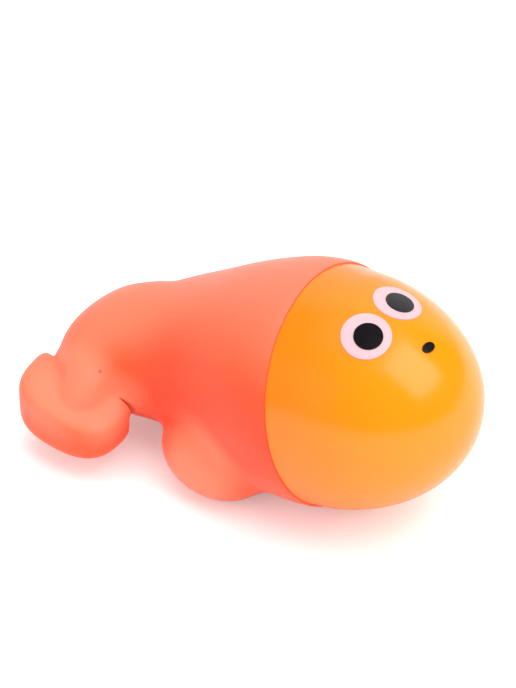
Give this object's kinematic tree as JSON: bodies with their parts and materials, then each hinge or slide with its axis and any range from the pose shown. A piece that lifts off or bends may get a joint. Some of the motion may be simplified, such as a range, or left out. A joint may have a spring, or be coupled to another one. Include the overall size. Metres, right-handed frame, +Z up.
{
  "type": "sea animal bath toy",
  "caption": "Moulded rubber bath toy: a resting sea animal with an egg-shaped head looking up, a painted face, short side flippers and a tail fluke curled to one side.",
  "frame": {"origin": "on the floor, at the middle of the flat seat under the head", "axes": "+X towards the face, +Y to the animal's left, +Z up"},
  "size_m": [0.1136, 0.0691, 0.0625],
  "materials": {
    "coral_rubber": "matte moulded rubber, with a yellow painted face, pink eye rings, black pupils and a black nose"
  },
  "bodies": {
    "root": {"moulded_body": "coral_rubber"}
  },
  "joints": []
}
